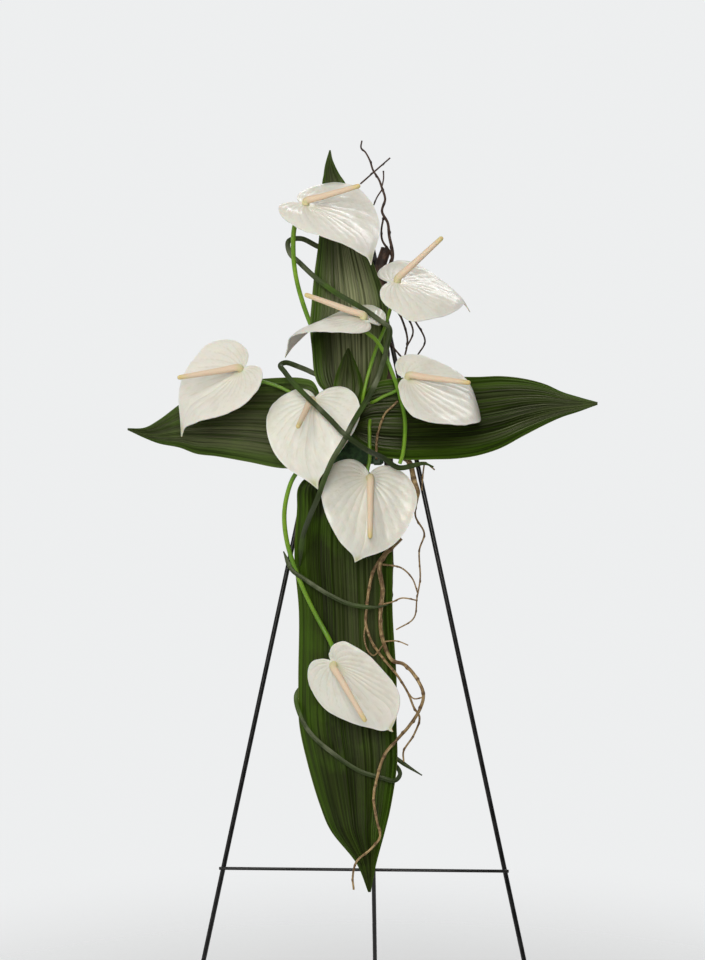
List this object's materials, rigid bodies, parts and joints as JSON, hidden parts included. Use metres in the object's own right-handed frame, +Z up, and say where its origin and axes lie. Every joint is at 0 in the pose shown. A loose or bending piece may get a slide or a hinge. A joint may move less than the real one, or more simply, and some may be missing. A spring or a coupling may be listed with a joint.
{
  "type": "standing funeral cross",
  "caption": "Funeral cross of broad dark leaves with white anthurium blooms, grass and curly willow, standing on a folding three-legged wire easel.",
  "frame": {"origin": "centre of the whole part's box, on the floor", "axes": "+Z up, -Y towards the viewer, who sees the front, and +X to the viewer's right"},
  "size_m": [0.6022, 0.5142, 1.4538],
  "materials": {
    "steel": "satin",
    "cap": "matte",
    "lath": "matte",
    "foam": "matte",
    "tape": "satin",
    "leaf": "satin",
    "spathe": "satin",
    "spadix": "matte",
    "stem": "satin",
    "strand": "satin",
    "bark_dark": "matte",
    "bark_tan": "matte"
  },
  "bodies": {
    "front_frame": {"front_leg_left": "steel", "foot_cap_left": "cap", "hook_left": "steel", "front_leg_right": "steel", "foot_cap_right": "cap", "hook_right": "steel", "apex_plate": "steel", "crossbar": "steel", "hinge_bar": "steel", "lath_cross": "lath", "lath_upright": "lath", "foam_block": "foam", "anchor_tape": "tape", "leaf_top": "leaf", "leaf_left": "leaf", "leaf_right": "leaf", "leaf_bottom": "leaf", "leaf_centre": "leaf", "bloom_1_spathe": "spathe", "bloom_1_spadix": "spadix", "bloom_1_stem": "stem", "bloom_2_spathe": "spathe", "bloom_2_spadix": "spadix", "bloom_2_stem": "stem", "bloom_3_spathe": "spathe", "bloom_3_spadix": "spadix", "bloom_3_stem": "stem", "bloom_4_spathe": "spathe", "bloom_4_spadix": "spadix", "bloom_4_stem": "stem", "bloom_5_spathe": "spathe", "bloom_5_spadix": "spadix", "bloom_5_stem": "stem", "bloom_6_spathe": "spathe", "bloom_6_spadix": "spadix", "bloom_6_stem": "stem", "bloom_7_spathe": "spathe", "bloom_7_spadix": "spadix", "bloom_7_stem": "stem", "bloom_8_spathe": "spathe", "bloom_8_spadix": "spadix", "bloom_8_stem": "stem", "strand_1": "strand", "strand_2": "strand", "strand_3": "strand", "strand_4": "strand", "willow_main": "bark_dark", "willow_lower": "bark_tan", "willow_twig": "bark_tan"},
    "back_leg": {"back_leg": "steel", "foot_cap_back": "cap"}
  },
  "joints": [
    {"name": "back_leg_fold", "type": "hinge", "parent": "front_frame", "child": "back_leg", "pos_m": [0, -0.07252, 1.27001], "axis": [1, 0, 0], "range_deg": [-20, 0]}
  ]
}
